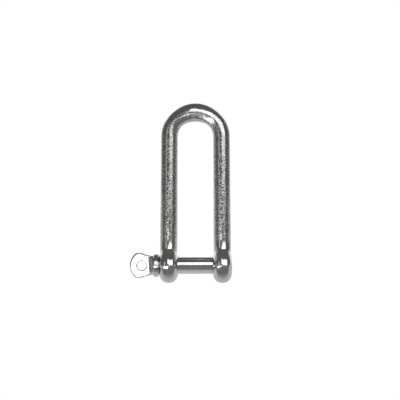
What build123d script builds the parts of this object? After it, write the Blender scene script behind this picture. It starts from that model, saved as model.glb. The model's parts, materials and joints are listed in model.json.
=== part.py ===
from build123d import *
import math
import os

# A long D shackle with a screw pin, in stainless steel. Millimetres.
# The origin is on the pin's axis, midway between the two ears. +X runs along the pin
# from its eye to its thread, and +Z runs up the legs to the crown of the bow.

# Bow and legs
leg_d = 6.0
inside_length = 50.1        # pin axis to the inner face of the crown
bow_spread = 18.14          # between the legs' centre lines where the bow begins
shoulder_r = 8.0            # centre line of the bow's shoulders, which are tighter than its crown
shoulder_angle = 50.0       # how far each shoulder turns before the crown's arc begins
crown_gain = 0.25           # how much thicker in radius the stock is at the crown

# Ears
ear_d = 12.3
ear_swell = 0.85            # how much thicker an ear is at its hole's edge than the stock
jaw = 11.9                  # clear width between the ears
face_dome_r = 15.0
rim_crown_share = 0.584     # radius of the rim's crowned section as a share of the ear's thickness
ear_corner_r = 0.8
leg_root_sink = 1.0         # how far below the middle of the ear's wall its leg begins
leg_blend_r = 2.0           # concave blend from an ear's rim up into the front and back of its leg
blend_share = 0.85          # width of that blend as a share of the leg
blend_sink = 0.04           # how far the blend's top lies inside the leg
hole_chamfer = 0.3

# Pin
shank_d = 5.9
hole_clearance = 0.08       # radial, the plain ear over the widest part of the shank
shank_swell = 0.05          # radial growth of the shank under the collar
seat_gap = 0.05             # collar to the plain ear when the pin is screwed home
collar_d = 8.0
collar_t = 1.75
collar_edge_r = 0.55
neck_d = 6.35
end_inset = 0.35            # pin end inside the tapped ear's outer face

# Pin's eye: a flat tab with a hole for a key or a mousing wire
tab_length = 8.3            # collar to tip
tab_t = 2.2
tab_neck_length = 1.05      # straight stretch beside the collar
tab_flank_angle = 20.0
tab_tip_r = 5.4
tab_corner_r = 1.8
tab_blend_r = 1.6
tab_edge_r = 0.38
tab_hole_d = 3.25
tab_hole_edge = 0.25
tab_hole_reach = 4.15       # collar to the hole's centre
dish_clear = 0.2            # collar to where the dished flat begins

# Thread, M6 x 1 right hand, cut on the shank's own stock
pitch = 1.0
thread_depth = 0.6
crest_width = 0.2
flank_angle = 30.0
thread_gap = 0.08           # radial clearance at crest and root
flank_gap = 0.06            # clearance square to the flank
relief_extra = 0.05         # how much deeper the run-out groove is than the thread
relief_width = 0.5
relief_inset = 0.05         # the shank's full width runs this far into the tapped ear
end_chamfer = 0.5
bore_margin = 0.1           # how much wider than the thread, in radius, the tapped ear's ends are bored
bore_in = 0.9               # depth of that bore at the inner face, which takes the shank's end
bore_out = 0.4

# Plain core on the pin's axis, which takes the pin's travel without its turn
core_d = 2.0
core_gap = 0.02
core_end_cover = 2.5

cutter_reach = 1.0          # how far a cutter runs past the face that it opens

leg_r = leg_d / 2
ear_r = ear_d / 2
ear_thickness = leg_d + ear_swell
rim_crown_r = ear_thickness * rim_crown_share
shank_r = shank_d / 2
head_r = shank_r + shank_swell
hole_r = head_r + hole_clearance
ear_x = (jaw + ear_thickness) / 2
face_apex = ear_thickness / 2 + face_dome_r - math.sqrt(face_dome_r**2 - hole_r**2)

bow_r = bow_spread / 2
shoulder_turn = math.radians(shoulder_angle)
crown_z = inside_length + leg_r + crown_gain
splay = math.atan((ear_x - bow_r) / (crown_z - bow_r))
shoulder_end_x = bow_r + shoulder_r * (math.cos(splay + shoulder_turn) - math.cos(splay))
shoulder_rise = shoulder_r * (math.sin(splay + shoulder_turn) - math.sin(splay))
crown_r = shoulder_end_x / math.cos(splay + shoulder_turn)
spring_z = crown_z - crown_r * (1 - math.sin(splay + shoulder_turn)) - shoulder_rise
leg_root = (hole_r + ear_r) / 2 - leg_root_sink
blend_top = math.sqrt((ear_r + leg_blend_r) ** 2 - (leg_r + leg_blend_r) ** 2)
blend_foot = blend_top * ear_r / (ear_r + leg_blend_r)

seat_x = -(ear_x + ear_thickness / 2 + seat_gap)
collar_x = seat_x - collar_t
tapped_in = jaw / 2
tapped_out = jaw / 2 + ear_thickness
pin_end = tapped_out - end_inset
tap_minor_r = shank_r - thread_depth + thread_gap
tap_major_r = shank_r + thread_gap
relief_r = shank_r - thread_depth - relief_extra
relief_start = tapped_in + relief_inset
relief_cone = shank_r - relief_r
dish_r = (neck_d - tab_t) / 2
thread_start = relief_start + relief_cone + relief_width

# How finely two curved forms are drawn, and how near two places count as the same
blend_steps = 5
flank_steps = 6
same_place = 1e-6


def circles_meet(centre_a, r_a, centre_b, r_b):
    """The upper right point where two circles cross."""
    ax, ay = centre_a
    bx, by = centre_b
    d = math.hypot(bx - ax, by - ay)
    along = (r_a**2 - r_b**2 + d**2) / (2 * d)
    aside = math.sqrt(r_a**2 - along**2)
    ux, uy = (bx - ax) / d, (by - ay) / d
    points = [
        (ax + ux * along - uy * side, ay + uy * along + ux * side)
        for side in (aside, -aside)
    ]
    return max(points, key=lambda point: point[1])


def turned(points):
    """A solid of revolution about X from (x, radius) points."""
    outline = Polyline(*points, close=True)
    return revolve(make_face(outline), Axis.X)


def ear():
    """A round ear about the X axis with domed faces, a crowned rim and rounded corners."""
    dome = (face_apex - face_dome_r, 0)
    rim = (0, ear_r - rim_crown_r)
    cx, cy = circles_meet(dome, face_dome_r, rim, rim_crown_r)
    dome_mid_y = cy / 2
    dome_mid_x = dome[0] + math.sqrt(face_dome_r**2 - dome_mid_y**2)
    outline = [
        ThreePointArc((face_apex, 0), (dome_mid_x, dome_mid_y), (cx, cy)),
        ThreePointArc((cx, cy), (0, ear_r), (-cx, cy)),
        ThreePointArc((-cx, cy), (-dome_mid_x, dome_mid_y), (-face_apex, 0)),
        Line((-face_apex, 0), (face_apex, 0)),
    ]
    section = make_face(outline)
    corners = [v for v in section.vertices() if abs(v.Y - cy) < same_place]
    section = fillet(corners, ear_corner_r)
    return revolve(section, Axis.X)


def leg_plane(side, z):
    """Plane across one leg at height z: side is +1 for the tapped ear's leg."""
    x = side * (bow_r + (spring_z - z) * math.tan(splay))
    forward = (-math.sin(splay), 0, side * math.cos(splay))
    return Plane(origin=(x, 0, z), x_dir=(0, 1, 0), z_dir=forward)


def leg_root_blend(side):
    """Concave swell that carries an ear's rim up into the front and back of its leg."""
    foot = blend_top - blend_foot
    heights = [leg_root, (leg_root + blend_foot) / 2]
    heights += [blend_foot + foot * i / blend_steps for i in range(blend_steps + 1)]
    sections = []
    for z in heights:
        drop = blend_top - max(z, blend_foot)
        widened = leg_r + leg_blend_r - math.sqrt(leg_blend_r**2 - drop**2)
        sections.append(leg_plane(side, z) * Ellipse(widened - blend_sink, leg_r * blend_share))
    return loft(sections)


def around(centre, radius, angle):
    """Point in the XZ plane at an angle from +X about centre."""
    return (centre[0] + radius * math.cos(angle), 0, centre[1] + radius * math.sin(angle))


def bow():
    """The bow over its three arcs, its stock thickest at the crown."""
    centre = (bow_r - shoulder_r * math.cos(splay), spring_z - shoulder_r * math.sin(splay))
    start = around(centre, shoulder_r, splay)
    middle = around(centre, shoulder_r, splay + shoulder_turn / 2)
    end = around(centre, shoulder_r, splay + shoulder_turn)
    shoulder = ThreePointArc(start, middle, end)
    crown = ThreePointArc(end, (0, 0, crown_z), (-end[0], 0, end[2]))
    route = Wire([*shoulder.edges(), *crown.edges(), *mirror(shoulder, Plane.YZ).edges()])
    top = Plane(origin=(0, 0, crown_z), x_dir=(0, 1, 0), z_dir=(-1, 0, 0))
    sections = [
        leg_plane(1, spring_z) * Circle(leg_r),
        top * Circle(leg_r + crown_gain),
        leg_plane(-1, spring_z) * Circle(leg_r),
    ]
    return sweep(sections, path=route, multisection=True)


def leg(side):
    """One straight round leg, from inside its ear up to the bow."""
    length = (spring_z - leg_root) / math.cos(splay)
    return extrude(leg_plane(side, spring_z) * Circle(leg_r), amount=-side * length)


def along_x(shape, x):
    """Turn a shape built about Z so that it lies about X, its z=0 at x."""
    return Pos(x, 0, 0) * Rotation(0, 90, 0) * shape


def ridge_width(r):
    """Axial width of the pin's thread ridge at radius r."""
    return crest_width + 2 * (shank_r - r) * math.tan(math.radians(flank_angle))


def thread_section(root_r, crest_r, grow):
    """Cross-section of a threaded bar, square to its axis: crest and root arcs, spiral flanks.

    The ridge is wider than the pin's own, along the axis, by grow.
    """
    def at(r, side):
        angle = side * math.pi * (ridge_width(r) + grow) / pitch
        return (r * math.cos(angle), r * math.sin(angle))

    radii = [crest_r + (root_r - crest_r) * i / flank_steps for i in range(flank_steps + 1)]
    rising = [at(r, 1) for r in radii]
    falling = [at(r, -1) for r in reversed(radii)]
    return make_face([
        ThreePointArc(falling[-1], (crest_r, 0), rising[0]),
        Spline(*rising),
        ThreePointArc(rising[-1], (-root_r, 0), falling[0]),
        Spline(*falling),
    ])


def threaded_bar(start, end, root_r, crest_r, grow):
    """Right-hand threaded bar about the X axis; start lies a whole number of turns from thread_start."""
    section = thread_section(root_r, crest_r, grow).faces()[0]
    length = end - start
    turned_by = 360 * length / pitch
    bar = Solid.extrude_linear_with_rotation(section, (0, 0, 0), (0, 0, length), turned_by)
    return along_x(Part() + bar, start)


def tap():
    """What the tapped ear is cut with: the pin's thread grown by its clearances."""
    grow = 2 * flank_gap / math.cos(math.radians(flank_angle))
    start = thread_start - math.ceil((thread_start - tapped_in) / pitch + 1) * pitch
    end = tapped_out + cutter_reach
    return threaded_bar(start, end, tap_minor_r, tap_major_r, grow)


def plain_hole():
    """Hole through the plain ear, opened slightly at both faces."""
    inner = -jaw / 2
    outer = inner - ear_thickness
    return turned([
        (outer - cutter_reach, 0),
        (outer - cutter_reach, hole_r + hole_chamfer + cutter_reach),
        (outer + hole_chamfer, hole_r),
        (inner - hole_chamfer, hole_r),
        (inner + cutter_reach, hole_r + hole_chamfer + cutter_reach),
        (inner + cutter_reach, 0),
    ])


def relief_bore(face_x, way, depth):
    """Short plain bore, wider than the thread, into the tapped ear from its face at face_x.

    way is +1 where the bore opens along +X.
    """
    bore_r = tap_major_r + bore_margin
    deep_x = face_x - way * depth
    mouth_x = face_x + way * cutter_reach
    return turned([(deep_x, 0), (deep_x, bore_r), (mouth_x, bore_r), (mouth_x, 0)])


def plain_ear():
    """The ear at the pin's head, with its plain hole."""
    return Pos(-ear_x, 0, 0) * ear() - plain_hole()


def tapped_ear():
    """The ear at the pin's end, tapped right through and bored a little wider at both faces."""
    eye = Pos(ear_x, 0, 0) * ear() - tap()
    eye -= relief_bore(tapped_in, -1, bore_in)
    return eye - relief_bore(tapped_out, 1, bore_out)


def shackle_body():
    """Bow, legs and two ears in one forging."""
    body = bow()
    for side in (1, -1):
        body += leg(side)
    body += plain_ear()
    body += tapped_ear()
    for side in (1, -1):
        body += leg_root_blend(side)
    return body


def pin_shank():
    """Turned shank with its swell under the collar, and the run-out groove beside the thread."""
    return turned([
        (collar_x + collar_t / 2, 0),
        (collar_x + collar_t / 2, head_r),
        (seat_x, head_r),
        (-jaw / 2, shank_r),
        (relief_start, shank_r),
        (relief_start + relief_cone, relief_r),
        (thread_start + relief_cone, relief_r),
        (thread_start + relief_cone, 0),
    ])


def pin_thread():
    """The pin's thread, chamfered at both ends."""
    bar = threaded_bar(thread_start, pin_end, shank_r - thread_depth, shank_r, 0)
    envelope = turned([
        (thread_start - end_chamfer, 0),
        (thread_start - end_chamfer, relief_r - end_chamfer / 2),
        (thread_start + relief_cone, shank_r + relief_extra),
        (pin_end - end_chamfer, shank_r + relief_extra),
        (pin_end + end_chamfer, shank_r + relief_extra - 2 * end_chamfer),
        (pin_end + end_chamfer, 0),
    ])
    return bar & envelope


def tab_outline():
    """The tab in the XZ plane: neck, straight flanks and a round tip, with the hole."""
    neck_r = neck_d / 2
    far_r = neck_r + (tab_length - tab_neck_length) * math.tan(math.radians(tab_flank_angle))
    side = [(0, neck_r), (tab_neck_length, neck_r), (tab_length, far_r)]
    outline = side + [(u, -w) for u, w in reversed(side)]
    blank = make_face(Polyline(*outline, close=True))
    tip = Pos(tab_length - tab_tip_r, 0) * Circle(tab_tip_r)
    waist = Rectangle(tab_length - tab_tip_r, 2 * far_r, align=(Align.MIN, Align.CENTER))
    section = blank & (tip + waist)
    corners = [v for v in section.vertices() if v.X > tab_length / 2]
    section = fillet(corners, tab_corner_r)
    necks = [v for v in section.vertices() if abs(v.X - tab_neck_length) < same_place]
    section = fillet(necks, tab_blend_r)
    return section - Pos(tab_hole_reach, 0) * Circle(tab_hole_d / 2)


def face_edges(plate, closed):
    """Edges round the plate's two flat faces, but for its neck end: the hole's if closed, else the rim's."""
    on_face = [e for e in plate.edges() if abs(abs(e.center().Y) - tab_t / 2) < same_place]
    return [e for e in on_face if e.is_closed == closed and e.center().X > tab_neck_length / 4]


def tab_plate():
    """The flat tab with its outer edge and its hole's edge rounded."""
    plate = extrude(Plane.XZ * tab_outline(), amount=tab_t / 2, both=True)
    plate = fillet(face_edges(plate, True), tab_hole_edge)
    return fillet(face_edges(plate, False), tab_edge_r)


def dish_cutter():
    """What is cleared from one side of the tab: the flat, and a hollow sweep up to the neck's top."""
    flat_y = tab_t / 2
    top_y = flat_y + 2 * dish_r
    edges = [
        Line((dish_clear, flat_y + dish_r), (dish_clear, top_y)),
        Line((dish_clear, top_y), (tab_length, top_y)),
        Line((tab_length, top_y), (tab_length, flat_y)),
        Line((tab_length, flat_y), (dish_clear + dish_r, flat_y)),
        RadiusArc((dish_clear + dish_r, flat_y), (dish_clear, flat_y + dish_r), dish_r),
    ]
    return extrude(make_face(edges), amount=collar_d, both=True)


def pin_eye():
    """Neck and flat eye along +X from the collar's face, the flat facing the Y axis."""
    length = collar_t / 2 + dish_clear + dish_r
    bar = Cylinder(neck_d / 2, length, align=(Align.CENTER, Align.CENTER, Align.MIN))
    neck = along_x(bar, -collar_t / 2)
    for side in (1, -1):
        neck -= scale(dish_cutter(), (1, side, 1))
    return neck + tab_plate()


def screw_pin():
    """Pin: threaded shank, collar, neck and flat eye in one piece."""
    shank = pin_shank() + pin_thread()
    disc = Cylinder(collar_d / 2, collar_t, align=(Align.CENTER, Align.CENTER, Align.MIN))
    collar = fillet(along_x(disc, collar_x).edges(), collar_edge_r)
    eye = Pos(collar_x, 0, 0) * Rotation(0, 180, 0) * pin_eye()
    pin = shank + collar + eye
    return pin - core(core_gap)


def core(grow):
    """The core's cylinder inside the pin, larger by grow all round."""
    start = collar_x + core_end_cover
    end = relief_start - core_end_cover
    length = end - start + 2 * grow
    bar = Cylinder(core_d / 2 + grow, length, align=(Align.CENTER, Align.CENTER, Align.MIN))
    return along_x(bar, start - grow)


if __name__ == "__main__":
    os.makedirs("parts", exist_ok=True)
    for name, piece in (
        ("shackle_body", shackle_body()),
        ("screw_pin", screw_pin()),
        ("pin_core", core(0)),
    ):
        export_step(piece, f"parts/{name}.step")
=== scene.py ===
import json
import math

import bpy
import numpy as np
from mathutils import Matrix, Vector


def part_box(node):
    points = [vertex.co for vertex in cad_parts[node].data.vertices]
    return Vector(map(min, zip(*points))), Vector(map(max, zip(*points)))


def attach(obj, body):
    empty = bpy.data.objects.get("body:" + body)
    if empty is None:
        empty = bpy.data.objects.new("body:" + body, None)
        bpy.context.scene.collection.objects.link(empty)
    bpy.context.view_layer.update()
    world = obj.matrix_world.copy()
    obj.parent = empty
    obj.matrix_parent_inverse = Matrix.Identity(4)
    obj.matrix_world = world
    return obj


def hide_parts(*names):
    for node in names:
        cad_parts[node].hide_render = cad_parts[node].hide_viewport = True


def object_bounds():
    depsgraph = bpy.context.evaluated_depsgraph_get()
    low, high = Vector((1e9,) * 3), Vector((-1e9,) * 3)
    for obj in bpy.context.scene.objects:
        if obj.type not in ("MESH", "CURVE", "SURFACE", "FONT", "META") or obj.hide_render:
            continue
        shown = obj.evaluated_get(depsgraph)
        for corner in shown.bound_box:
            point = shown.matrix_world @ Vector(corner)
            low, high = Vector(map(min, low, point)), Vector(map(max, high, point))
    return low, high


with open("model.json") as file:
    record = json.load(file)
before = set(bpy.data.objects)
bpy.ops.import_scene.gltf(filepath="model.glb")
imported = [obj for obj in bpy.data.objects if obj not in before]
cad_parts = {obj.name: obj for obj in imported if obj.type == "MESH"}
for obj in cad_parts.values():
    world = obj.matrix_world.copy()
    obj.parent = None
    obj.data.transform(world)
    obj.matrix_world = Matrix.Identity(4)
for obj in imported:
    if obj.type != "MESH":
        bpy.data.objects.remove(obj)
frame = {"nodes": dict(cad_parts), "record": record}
cad_lo, cad_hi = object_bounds()

# Sizes in millimetres; the frame is in metres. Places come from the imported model's boxes and mounts.
MM = 1000.0
SKIN = 0.012                     # how far every drawn surface lies inside its CAD solid
TINY = 1e-6


def mount(name):
    """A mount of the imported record, by name."""
    return next(m for m in frame["record"]["mounts"] if m["name"] == name)


def box_mm(node):
    """A CAD node's box in millimetres."""
    lo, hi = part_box(node)
    return np.array(lo) * MM, np.array(hi) * MM


_, body_hi = box_mm("shackle_body")
pin_lo, pin_hi = box_mm("screw_pin")

# Body
leg_r = 3.0
jaw = 11.9
ear_thickness = 6.85
ear_x = (jaw + ear_thickness) / 2
ear_r = body_hi[1]
hole_r = 3.08
hole_edge_r = 0.35
face_dome_r = 15.0
face_apex = ear_thickness / 2 + face_dome_r - math.sqrt(face_dome_r**2 - hole_r**2)
rim_crown_r = 4.0
ear_corner_r = 0.9
bow_r = 9.07
shoulder_r = 8.0
shoulder_turn = math.radians(50.0)
crown_gain = 0.25                # how much thicker in radius the stock is at the crown
shoulder_dip = 0.13              # how much thinner it is where the shoulder ends
dip_at = 0.85                    # where: 0 is the bow's beginning, 1 the shoulder's end, 2 the crown's top
crown_z = body_hi[2] - leg_r - crown_gain
splay = math.atan((ear_x - bow_r) / (crown_z - bow_r))
shoulder_end_x = bow_r + shoulder_r * (math.cos(splay + shoulder_turn) - math.cos(splay))
shoulder_rise = shoulder_r * (math.sin(splay + shoulder_turn) - math.sin(splay))
crown_r = shoulder_end_x / math.cos(splay + shoulder_turn)
spring_z = crown_z - crown_r * (1 - math.sin(splay + shoulder_turn)) - shoulder_rise
leg_root = 3.6                   # height inside the ear where the leg's stock begins
flare = 0.42                     # how far the leg's front and back swell out at the ear
flare_top = 9.2
flare_foot = 5.3
flare_core = 0.1                 # keeps the flare's division off the leg's centre line
front_blend_r = 0.9              # crease between leg and ear, at its front and back
side_blend_r = 0.3               # the same crease, at the ear's two faces
blend_slope = 1.6                # how fast the crease goes from the one to the other around the leg
blend_start = 0.3

# Pin
shank_r = mount("pin")["dims"]["r_mm"]
head_r = 3.0
seat_gap = 0.05
seat_x = -(ear_x + ear_thickness / 2 + seat_gap)
collar_r = pin_hi[1]
collar_t = 1.75
collar_x = seat_x - collar_t
collar_edge_r = 0.4
collar_blend_r = 0.12
neck_r = 3.175
neck_edge_r = 0.12
pin_end = pin_hi[0]
overlap = 0.5                    # how far shank and neck run into the collar
tab_length = collar_x - pin_lo[0]
tab_half = 1.1
tab_neck_length = 1.05
tab_flank = math.radians(20.0)
tab_flank_blend_r = 0.8
tab_tip_r = 5.4
tab_corner_r = 1.15
tab_edge_r = 0.58
tab_neck_blend_r = 0.1
tab_collar_blend_r = 0.25
tab_hole_r = mount("lanyard_hole")["dims"]["r_mm"]
tab_hole_x = mount("lanyard_hole")["pos_m"][0] * MM
tab_hole_edge = 0.36
dish_r = neck_r - tab_half
dish_clear = 0.2                 # collar to where the dished flat begins
dish_mid = dish_clear + dish_r

# Thread
pitch = 1.0
thread_depth = 0.6
crest_width = 0.2
flank_angle = math.radians(30.0)
thread_gap = 0.08
flank_gap = 0.06
crest_edge_r = 0.04
root_blend_r = 0.05
thread_blend_r = 0.03            # thread into the run-out groove
tapped_in = jaw / 2
tapped_out = jaw / 2 + ear_thickness
relief_inset = 0.05              # the shank's full width runs this far into the tapped ear
relief_extra = 0.05              # how much deeper the run-out groove is than the thread
relief_width = 0.5
relief_start = tapped_in + relief_inset
relief_r = shank_r - thread_depth - relief_extra
relief_cone = shank_r - relief_r
thread_start = relief_start + relief_cone + relief_width
lead_in = 0.4                    # how far the thread's lead-in cone is lifted off the run-out groove
bore_margin = 0.1
bore_r = shank_r + thread_gap + bore_margin
bore_in = 0.9
bore_out = 0.4
bore_edge_r = 0.12
end_chamfer = 0.5
end_edge_r = 0.12

# Unevenness of the forgings
OCTAVES, WAVES = 3, 3            # sizes of wave, and waves of each size
OCTAVE_STEP, OCTAVE_FADE = 1.7, 1.5
WAVE_SUM = 4                     # brings their sum to about -1 to 1
# Depth, length of the longest wave, seed
SLOW = (0.010, 9.0, 11)
CLOSE = (0.008, 3.4, 17)
PIN_WORN = (0.004, 5.0, 23)
EAR_SHARE = 0.35                 # share of the slow unevenness that an ear shows
LEG_FROM, LEG_OVER = 6.0, 6.0    # height where its share begins to grow, and over which it does
MID_GAP = 2.0                    # |x| that lies between the ears and well clear of both


def soft_max(a, b, r):
    """Intersection of two fields, its edge rounded to radius r."""
    ra = np.maximum(a + r, 0)
    rb = np.maximum(b + r, 0)
    return np.minimum(np.maximum(a, b), -r) + np.hypot(ra, rb)


def soft_min(a, b, r):
    """Union of two fields, its crease filled to radius r."""
    return -soft_max(-a, -b, r)


def smooth(t):
    """A smooth step from 0 to 1."""
    t = np.clip(t, 0, 1)
    return t * t * (3 - 2 * t)


def wander(p, depth, period, seed):
    """Unevenness of a forged surface, 0 to about twice depth: sines that run in seeded directions."""
    rng = np.random.default_rng(seed)
    total = np.zeros(len(p))
    for i in range(OCTAVES):
        for _ in range(WAVES):
            way = rng.normal(size=3)
            way *= 2 * math.pi / (np.linalg.norm(way) * period / OCTAVE_STEP**i)
            total += np.sin(p @ way + rng.uniform(0, 2 * math.pi)) / OCTAVE_FADE**i
    return depth * (1 + total / WAVE_SUM)


def stock_field(x, y, z):
    """Round bar that runs up one leg, over the shoulder and along the crown. x is measured outwards.

    q is the place along it: 0 up to where the bow begins, 1 at the shoulder's end, 2 at the crown's top.
    Just above the ear its front and back flare out a little.
    """
    along = (z - spring_z) * math.cos(splay) - (x - bow_r) * math.sin(splay)
    leg_off = (x - bow_r) * math.cos(splay) + (z - spring_z) * math.sin(splay)
    cx = bow_r - shoulder_r * math.cos(splay)
    cz = spring_z - shoulder_r * math.sin(splay)
    turn = np.arctan2(z - cz, x - cx)
    turn = np.where(turn < -math.pi / 2, turn + 2 * math.pi, turn) - splay
    shoulder_off = np.hypot(x - cx, z - cz) - shoulder_r
    top_z = crown_z - crown_r
    crown_off = np.hypot(x, z - top_z) - crown_r
    from_top = np.arctan2(np.abs(x), np.maximum(z - top_z, TINY))
    crown_half = math.pi / 2 - splay - shoulder_turn
    q = np.where(turn < shoulder_turn, turn / shoulder_turn, 2 - np.minimum(from_top / crown_half, 1))
    q = np.where(along < 0, 0, q)
    off = np.where(along < 0, leg_off, np.where(turn < shoulder_turn, shoulder_off, crown_off))
    dip = 1 - smooth(np.abs(q - dip_at) / dip_at)
    r = leg_r - shoulder_dip * dip + crown_gain * smooth((q - dip_at) / (2 - dip_at))
    around = np.hypot(off, y)
    rise = np.clip((flare_top - z) / (flare_top - flare_foot), 0, 1)
    return around - r - flare * rise**2 * (y / np.maximum(around, flare_core)) ** 2


def ear_field(u, y, z):
    """Round ear about the X axis with domed faces and a crowned rim. u is measured from its middle."""
    rho = np.hypot(y, z)
    dome = np.hypot(np.abs(u) + face_dome_r - face_apex, rho) - face_dome_r
    rim = np.hypot(u, np.maximum(rho - (ear_r - rim_crown_r), 0)) - rim_crown_r
    return soft_max(dome, rim, ear_corner_r)


def thread_field(x, y, z, root_r, crest_r, grow):
    """Right-hand threaded bar about the X axis, a crest lying on -Z at thread_start."""
    rho = np.hypot(y, z)
    phase = (x - thread_start) / pitch - np.arctan2(y, -z) / (2 * math.pi)
    s = np.abs(phase - np.round(phase)) * pitch
    half = crest_width / 2 + (shank_r - rho) * math.tan(flank_angle) + grow / 2
    ridge = soft_max((s - half) * math.cos(flank_angle), rho - crest_r, crest_edge_r)
    return soft_min(rho - root_r, ridge, root_blend_r)


def body_field(p):
    """Signed distance, in millimetres, to the shackle's body."""
    x, y, z = p.T
    ax = np.abs(x)
    bar = np.maximum(stock_field(ax, y, z), leg_root - z)
    ear = ear_field(ax - ear_x, y, z)
    facing = y**2 / (y**2 + (ax - ear_x) ** 2 + TINY)
    blend_r = side_blend_r + (front_blend_r - side_blend_r) * smooth(facing * blend_slope - blend_start)
    whole = soft_min(bar, ear, blend_r)
    rho = np.hypot(y, z)
    hole = soft_max(whole, hole_r - rho, hole_edge_r)
    grow = 2 * flank_gap / math.cos(flank_angle)
    tap = thread_field(x, y, z, shank_r - thread_depth + thread_gap, shank_r + thread_gap, grow)
    deep = np.maximum(tapped_in + bore_in - x, x - (tapped_out - bore_out))
    ends = np.maximum(rho - bore_r, -deep)
    tapped = soft_max(whole, -tap, crest_edge_r)
    tapped = soft_max(tapped, -ends, bore_edge_r)
    out = np.where(x < -MID_GAP, hole, np.where(x > MID_GAP, tapped, whole))
    share = EAR_SHARE + (1 - EAR_SHARE) * smooth((z - LEG_FROM) / LEG_OVER)
    return out + SKIN + share * wander(p, *SLOW) + wander(p, *CLOSE)


def pin_field(p):
    """Signed distance, in millimetres, to the pin with its collar, neck and eye."""
    x, y, z = p.T
    rho = np.hypot(y, z)
    swell = head_r - shank_r
    shank = shank_r + swell * np.clip((-jaw / 2 - x) / (-jaw / 2 - seat_x), 0, 1)
    shank = np.where(x > relief_start, np.maximum(shank_r - (x - relief_start), relief_r), shank)
    plain = np.maximum(rho - shank, np.maximum(collar_x + overlap - x, x - thread_start - relief_cone))
    bar = thread_field(x, y, z, shank_r - thread_depth, shank_r, 0)
    lead = (rho - (x - thread_start) - (relief_r - end_chamfer / 2 + lead_in)) / math.sqrt(2)
    tail = (rho + (x - pin_end) - (shank_r - end_chamfer)) / math.sqrt(2)
    bar = np.maximum(np.maximum(bar, lead), np.maximum(tail, thread_start - end_chamfer - x))
    bar = soft_max(bar, x - pin_end, end_edge_r)
    shaft = soft_min(plain, bar, thread_blend_r)

    mid = collar_x + collar_t / 2
    collar = soft_max(rho - collar_r, np.abs(x - mid) - collar_t / 2, collar_edge_r)

    u = collar_x - x
    dish = np.hypot(np.minimum(u - dish_mid, 0), np.minimum(np.abs(y) - neck_r, 0)) - dish_r
    neck = soft_max(rho - neck_r, -dish, neck_edge_r)
    neck = np.maximum(neck, np.maximum(u - dish_mid, -u - overlap))

    flank = (np.abs(z) - neck_r - (u - tab_neck_length) * math.tan(tab_flank)) * math.cos(tab_flank)
    side = -soft_max(-(np.abs(z) - neck_r), -flank, tab_flank_blend_r)
    tip = np.hypot(np.maximum(u - tab_length + tab_tip_r, 0), z) - tab_tip_r
    outline = soft_max(side, tip, tab_corner_r)
    outline = np.maximum(outline, -u)
    plate = soft_max(outline, np.abs(y) - tab_half, tab_edge_r)
    eye = soft_min(neck, plate, tab_neck_blend_r)
    hole = tab_hole_r - np.hypot(x - tab_hole_x, z)
    eye = soft_max(eye, hole, tab_hole_edge)
    whole = soft_min(soft_min(shaft, collar, collar_blend_r), eye, tab_collar_blend_r)
    return whole + SKIN + wander(p, *PIN_WORN) * smooth(seat_x - x)


# Meshing
GRADIENT_STEP = 2e-3
SETTLE_ROUNDS = 5                # steps that bring a vertex onto the surface
LEAST_SLOPE2 = 0.2               # squared slope below which those steps stop growing
FURTHEST = 0.5                   # longest step, as a share of the grid cell


def spaced(stops, steps):
    """Grid lines through the stops, each stretch cut into steps of about its own size."""
    lines = [np.array([stops[0]])]
    for a, b, step in zip(stops, stops[1:], steps):
        n = max(1, int(round((b - a) / step)))
        lines.append(np.linspace(a, b, n + 1)[1:])
    return np.concatenate(lines)


def gradient(field, p):
    """Slope of a field at each point."""
    g = np.empty_like(p)
    for axis in range(3):
        d = np.zeros(3)
        d[axis] = GRADIENT_STEP
        g[:, axis] = (field(p + d) - field(p - d)) / (2 * GRADIENT_STEP)
    return g


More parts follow.
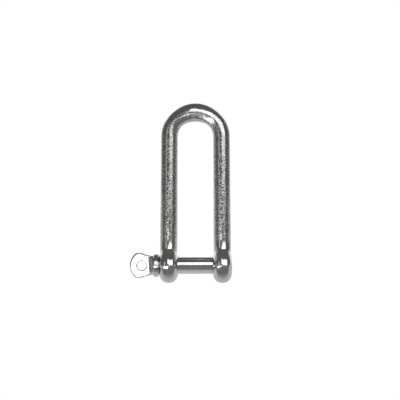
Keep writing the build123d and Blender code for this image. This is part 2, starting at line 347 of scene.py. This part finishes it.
def net(field, gx, gy, gz):
    """Vertices, quads and normals of the surface where the field is zero.

    One vertex lies in each grid cell that the surface crosses, and one quad on each grid edge.
    """
    shape = (len(gx), len(gy), len(gz))
    values = np.empty(shape)
    for i, x in enumerate(gx):
        yy, zz = np.meshgrid(gy, gz, indexing="ij")
        slab = np.column_stack([np.full(yy.size, x), yy.ravel(), zz.ravel()])
        values[i] = field(slab).reshape(shape[1:])
    inside = values < 0
    corners = [(i, j, k) for i in (0, 1) for j in (0, 1) for k in (0, 1)]
    cells = tuple(n - 1 for n in shape)

    def corner(a, c):
        return a[c[0]:c[0] + cells[0], c[1]:c[1] + cells[1], c[2]:c[2] + cells[2]]

    count = sum(corner(inside, c).astype(np.int8) for c in corners)
    active = (count > 0) & (count < 8)
    at = np.argwhere(active)
    index = np.full(cells, -1)
    index[active] = np.arange(len(at))
    grid = (gx, gy, gz)
    total = np.zeros((len(at), 3))
    hits = np.zeros(len(at))
    for a in corners:
        for axis in range(3):
            if a[axis]:
                continue
            b = tuple(1 if n == axis else a[n] for n in range(3))
            fa = values[tuple((at + a).T)]
            fb = values[tuple((at + b).T)]
            cross = (fa < 0) != (fb < 0)
            t = np.where(cross, fa / np.where(cross, fa - fb, 1), 0)
            for n in range(3):
                pa = grid[n][at[:, n] + a[n]]
                pb = grid[n][at[:, n] + b[n]]
                total[:, n] += np.where(cross, pa + (pb - pa) * t, 0)
            hits += cross
    p = total / hits[:, None]
    size = np.column_stack([np.diff(grid[n])[at[:, n]] for n in range(3)])
    for _ in range(SETTLE_ROUNDS):
        g = gradient(field, p)
        move = -field(p)[:, None] * g / np.maximum((g**2).sum(1), LEAST_SLOPE2)[:, None]
        p += np.clip(move, -FURTHEST * size, FURTHEST * size)
    quads = []
    for axis in range(3):
        u, v = (axis + 1) % 3, (axis + 2) % 3
        low = [slice(None)] * 3
        high = [slice(None)] * 3
        low[axis] = slice(0, -1)
        high[axis] = slice(1, None)
        flips = inside[tuple(low)] != inside[tuple(high)]
        edge = np.argwhere(flips)
        room = (edge[:, u] > 0) & (edge[:, v] > 0) & (edge[:, u] < cells[u]) & (edge[:, v] < cells[v])
        edge = edge[room]
        ring = []
        for du, dv in ((-1, -1), (0, -1), (0, 0), (-1, 0)):
            cell = edge.copy()
            cell[:, u] += du
            cell[:, v] += dv
            ring.append(index[tuple(cell.T)])
        quad = np.column_stack(ring)
        outward = inside[tuple(edge.T)]
        quad[~outward] = quad[~outward][:, ::-1]
        quads.append(quad)
    g = gradient(field, p)
    normals = g / np.maximum(np.linalg.norm(g, axis=1), TINY)[:, None]
    return p, np.concatenate(quads), normals


def piece(name, field, grid, body, node):
    """A smooth mesh of the field's surface that stands for one CAD node."""
    p, quads, normals = net(field, *grid)
    mesh = bpy.data.meshes.new(name)
    mesh.from_pydata((p / MM).tolist(), [], quads.tolist())
    mesh.validate()
    mesh.shade_smooth()
    mesh.normals_split_custom_set_from_vertices(normals.tolist())
    obj = bpy.data.objects.new(name, mesh)
    bpy.context.scene.collection.objects.link(obj)
    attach(obj, body)
    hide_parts(node)
    return obj


def lines_for_body():
    """Grid over the body, finest across the tapped ear and its thread."""
    gx = spaced([-13.2, -5.4, 5.4, 13.2], [0.2, 0.3, 0.115])
    gy = spaced([-6.5, 6.5], [0.2])
    gz = spaced([-6.5, 7.5, 43.0, 57.2], [0.2, 0.5, 0.24])
    return gx, gy, gz


def lines_for_pin():
    """Grid over the pin, coarsest along the plain shank."""
    gx = spaced([-23.3, -12.4, 5.6, 12.9], [0.13, 0.4, 0.085])
    gy = spaced([-4.4, -1.6, 1.6, 4.4], [0.16, 0.1, 0.16])
    gz = spaced([-5.0, 5.0], [0.14])
    return gx, gy, gz


# Materials
SATIN_LEGS = ((0.006, 0.011), (0.050, 0.057))    # heights in metres: grain fades in, grain fades out
NO_SATIN = ((1.0, 1.1), (2.0, 2.1))
ALL_SATIN = ((-1.0, -0.9), (2.0, 2.1))
CLOUD_SCALE, CLOUD_DETAIL, CLOUD_ROUGH = 160, 4, 0.6
GRAIN_SCALE = 1850
FINE_SCALE = 5200
GRAIN_DETAIL, GRAIN_ROUGH = 2, 0.5
DARK_STEEL = (0.41, 0.40, 0.385)
PALE_STEEL = (0.76, 0.755, 0.745)
POLISH_SHADE = 0.6               # darkest shade of the polished parts, from dark steel at 0 to pale at 1
SPECKLE = (0.4, 0.6)             # stretches of the noises that are drawn out to their full range
CLOUD = (0.35, 0.65)
ROUGH = (0.3, 0.7)
SATIN_SPREAD = (-0.06, 0.08)     # how far the roughness strays from the one given
POLISH_SPREAD = (-0.03, 0.05)
GRAIN_HEIGHT = 0.00005
FINE_HEIGHT = 0.00001
FINE_STRENGTH = 0.25
WHITE = (1, 1, 1, 1)


def nodes_of(owner):
    """The emptied node tree of a material or a world."""
    owner.use_nodes = True
    tree = owner.node_tree
    tree.nodes.clear()
    return tree


def axes(tree, coordinates):
    """A texture coordinate as a vector, and split into X, Y and Z."""
    coords = tree.nodes.new("ShaderNodeTexCoord").outputs[coordinates]
    split = tree.nodes.new("ShaderNodeSeparateXYZ")
    tree.links.new(coords, split.inputs["Vector"])
    return coords, split.outputs


def noise(tree, coords, scale, detail, rough):
    """Noise texture on object coordinates, its feature size 1/scale metres."""
    tex = tree.nodes.new("ShaderNodeTexNoise")
    tex.inputs["Scale"].default_value = scale
    tex.inputs["Detail"].default_value = detail
    tex.inputs["Roughness"].default_value = rough
    tree.links.new(coords, tex.inputs["Vector"])
    return tex.outputs["Fac"]


def ramp(tree, value, low, high, a, b):
    """value mapped from low..high to a..b, as a number."""
    node = tree.nodes.new("ShaderNodeMapRange")
    node.inputs["From Min"].default_value = low
    node.inputs["From Max"].default_value = high
    node.inputs["To Min"].default_value = a
    node.inputs["To Max"].default_value = b
    tree.links.new(value, node.inputs["Value"])
    return node.outputs["Result"]


def tint(tree, value, a, b):
    """Colour from a to b by value."""
    node = tree.nodes.new("ShaderNodeMix")
    node.data_type = "RGBA"
    node.inputs["A"].default_value = (*a, 1)
    node.inputs["B"].default_value = (*b, 1)
    tree.links.new(value, node.inputs["Factor"])
    return node.outputs["Result"]


def mixed(tree, value, a, b):
    """Number from a to b by value."""
    node = tree.nodes.new("ShaderNodeMix")
    node.data_type = "FLOAT"
    for name, given in (("A", a), ("B", b)):
        if isinstance(given, float):
            node.inputs[name].default_value = given
        else:
            tree.links.new(given, node.inputs[name])
    tree.links.new(value, node.inputs["Factor"])
    return node.outputs["Result"]


def product(tree, a, b):
    """Two numbers multiplied."""
    node = tree.nodes.new("ShaderNodeMath")
    node.operation = "MULTIPLY"
    for place, given in zip(node.inputs, (a, b)):
        if isinstance(given, float):
            place.default_value = given
        else:
            tree.links.new(given, place)
    return node.outputs[0]


def bump(tree, height, distance, strength, under=None):
    """Bumped normal; strength is a number or a socket, and under is the normal that it starts from."""
    node = tree.nodes.new("ShaderNodeBump")
    node.inputs["Distance"].default_value = distance
    if isinstance(strength, float):
        node.inputs["Strength"].default_value = strength
    else:
        tree.links.new(strength, node.inputs["Strength"])
    tree.links.new(height, node.inputs["Height"])
    if under is not None:
        tree.links.new(under, node.inputs["Normal"])
    return node.outputs["Normal"]


def steel(name, satin, grain_rough, polish_rough, grain_bump, polish_bump):
    """Stainless steel: grainy between two heights, where it fades in and out, and polished outside them."""
    material = bpy.data.materials.new(name)
    tree = nodes_of(material)
    coords, split = axes(tree, "Object")
    fade_in, fade_out = satin
    up = ramp(tree, split["Z"], *fade_in, 0, 1)
    down = ramp(tree, split["Z"], *fade_out, 1, 0)
    satin = product(tree, up, down)

    cloud = noise(tree, coords, CLOUD_SCALE, CLOUD_DETAIL, CLOUD_ROUGH)
    grain = noise(tree, coords, GRAIN_SCALE, GRAIN_DETAIL, GRAIN_ROUGH)
    fine = noise(tree, coords, FINE_SCALE, GRAIN_DETAIL, GRAIN_ROUGH)
    speckle = ramp(tree, grain, *SPECKLE, 0, 1)
    shade = mixed(tree, satin, ramp(tree, cloud, *CLOUD, POLISH_SHADE, 1), speckle)
    colour = tint(tree, shade, DARK_STEEL, PALE_STEEL)
    rough_satin = ramp(tree, grain, *ROUGH, *(grain_rough + part for part in SATIN_SPREAD))
    rough_polish = ramp(tree, cloud, *ROUGH, *(polish_rough + part for part in POLISH_SPREAD))
    roughness = mixed(tree, satin, rough_polish, rough_satin)
    coarse = bump(tree, grain, GRAIN_HEIGHT, mixed(tree, satin, polish_bump, grain_bump))
    normal = bump(tree, fine, FINE_HEIGHT, FINE_STRENGTH, coarse)

    shader = tree.nodes.new("ShaderNodeBsdfPrincipled")
    shader.inputs["Metallic"].default_value = 1.0
    tree.links.new(colour, shader.inputs["Base Color"])
    tree.links.new(roughness, shader.inputs["Roughness"])
    tree.links.new(normal, shader.inputs["Normal"])
    out = tree.nodes.new("ShaderNodeOutputMaterial")
    tree.links.new(shader.outputs["BSDF"], out.inputs["Surface"])
    return material


satin_steel = steel(
    "satin_stainless", SATIN_LEGS, grain_rough=0.2, polish_rough=0.13, grain_bump=0.62, polish_bump=0.12
)
bright_steel = steel(
    "bright_stainless", NO_SATIN, grain_rough=0.26, polish_rough=0.11, grain_bump=0.3, polish_bump=0.05
)
core_steel = steel(
    "core_steel", ALL_SATIN, grain_rough=0.3, polish_rough=0.2, grain_bump=0.4, polish_bump=0.1
)

body_piece = piece(
    "shackle_body_forged", body_field, lines_for_body(), "shackle", "shackle_body"
)
body_piece.data.materials.append(satin_steel)
pin_piece = piece("screw_pin_turned", pin_field, lines_for_pin(), "pin", "screw_pin")
pin_piece.data.materials.append(bright_steel)
core_node = frame["nodes"]["pin_core"]
for place in core_node.material_slots:
    place.material = core_steel

# Floor, light and camera. Distances are in metres.
FLOOR_GAP = 0.0002
FLOOR_SIZE = 6.0
FLOOR_DIM = 0.19                 # glow of the floor in front of the object, as the object sees it
FLOOR_NEAR = 0.62                # the same under it and behind it
FLOOR_TURN = (-0.008, -0.002)    # Y where the one becomes the other
FLOOR_CARD = 3.6                 # extra glow of the bright patch
CARD_X = (-0.050, -0.016)
CARD_Y = (-0.260, -0.026)
CARD_FADE = 0.006
STUDIO_DIM = 0.12
BEHIND = (0.35, 0.75)            # the surroundings are white past this part of the way round to the back
OVERHEAD = (0.5, 0.8)            # and dim again past this part of the way up
LIGHT_DISTANCE = 1.0
SOFTBOXES = (                    # name, azimuth, elevation, width, height, radiance
    ("key_window", 26, 20, 0.78, 0.62, 1.7),
    ("top_window", -3, 27, 0.2, 0.6, 1.7),
    ("left_strip", -37, 8, 0.14, 0.5, 0.85),
)
PX_PER_M = 2867.0                # of the frame's width, at the object
FRAME_PX = 400
LENS = 100.0
SENSOR = 36.0
VIEW_X, VIEW_Z = 0.00157, 0.0228
CLIP = (0.01, 20)


def plane(name, size, at, material):
    """A square for the stage, facing up."""
    half = size / 2
    verts = [(-half, -half, 0), (half, -half, 0), (half, half, 0), (-half, half, 0)]
    mesh = bpy.data.meshes.new(name)
    mesh.from_pydata(verts, [], [(0, 1, 2, 3)])
    obj = bpy.data.objects.new(name, mesh)
    obj.location = at
    obj.data.materials.append(material)
    bpy.context.scene.collection.objects.link(obj)
    return obj


def floor_material():
    """Pale light table, evenly white to the camera.

    To the object it is dimmer in front than behind, with a bright patch in front on the eye's side.
    """
    material = bpy.data.materials.new("pale_floor")
    tree = nodes_of(material)
    _, split = axes(tree, "Object")
    near = ramp(tree, split["Y"], *FLOOR_TURN, FLOOR_DIM, FLOOR_NEAR)
    card = FLOOR_CARD
    for axis, low, high in (("X", *CARD_X), ("Y", *CARD_Y)):
        rise = ramp(tree, split[axis], low - CARD_FADE, low, 0, 1)
        fall = ramp(tree, split[axis], high, high + CARD_FADE, 1, 0)
        card = product(tree, card, product(tree, rise, fall))
    given = tree.nodes.new("ShaderNodeMath")
    given.operation = "ADD"
    tree.links.new(near, given.inputs[0])
    tree.links.new(card, given.inputs[1])
    seen = tree.nodes.new("ShaderNodeLightPath").outputs["Is Camera Ray"]
    glow = tree.nodes.new("ShaderNodeEmission")
    glow.inputs["Color"].default_value = WHITE
    tree.links.new(mixed(tree, seen, given.outputs[0], 1.0), glow.inputs["Strength"])
    out = tree.nodes.new("ShaderNodeOutputMaterial")
    tree.links.new(glow.outputs["Emission"], out.inputs["Surface"])
    return material


def softbox(name, azimuth, elevation, width, height, radiance, target):
    """Area light at an azimuth and elevation from the object; azimuth 0 is towards -Y, 90 towards +X."""
    a, e = math.radians(azimuth), math.radians(elevation)
    way = Vector((math.sin(a) * math.cos(e), -math.cos(a) * math.cos(e), math.sin(e)))
    light = bpy.data.lights.new(name, "AREA")
    light.shape = "RECTANGLE"
    light.size = width
    light.size_y = height
    light.energy = radiance * width * height * math.pi
    obj = bpy.data.objects.new(name, light)
    obj.location = Vector(target) + way * LIGHT_DISTANCE
    obj.rotation_mode = "QUATERNION"
    obj.rotation_quaternion = way.to_track_quat("Z", "Y")
    bpy.context.scene.collection.objects.link(obj)
    return obj


def studio():
    """World: white to the camera and behind the object, dim on the camera's side and overhead."""
    world = bpy.data.worlds.new("studio")
    tree = nodes_of(world)
    _, split = axes(tree, "Generated")
    behind = ramp(tree, split["Y"], *BEHIND, 0, 1)
    overhead = ramp(tree, split["Z"], *OVERHEAD, 0, 1)
    level = mixed(tree, overhead, mixed(tree, behind, STUDIO_DIM, 1.0), STUDIO_DIM)
    seen = tree.nodes.new("ShaderNodeLightPath").outputs["Is Camera Ray"]
    shown = mixed(tree, seen, level, 1.0)
    sky = tree.nodes.new("ShaderNodeBackground")
    sky.inputs["Color"].default_value = WHITE
    tree.links.new(shown, sky.inputs["Strength"])
    out = tree.nodes.new("ShaderNodeOutputWorld")
    tree.links.new(sky.outputs["Background"], out.inputs["Surface"])
    bpy.context.scene.world = world


plane("floor", FLOOR_SIZE, (0, 0, cad_lo.z - FLOOR_GAP), floor_material())
for box in SOFTBOXES:
    softbox(*box, (cad_lo + cad_hi) / 2)
studio()

camera = bpy.data.objects.new("camera", bpy.data.cameras.new("camera"))
camera.data.lens = LENS
camera.data.sensor_width = SENSOR
reach = FRAME_PX / PX_PER_M * LENS / SENSOR
camera.location = (VIEW_X, -reach, VIEW_Z)
camera.rotation_euler = (math.pi / 2, 0, 0)
camera.data.clip_start, camera.data.clip_end = CLIP
bpy.context.scene.collection.objects.link(camera)
bpy.context.scene.camera = camera
bpy.context.scene.view_settings.view_transform = "Standard"
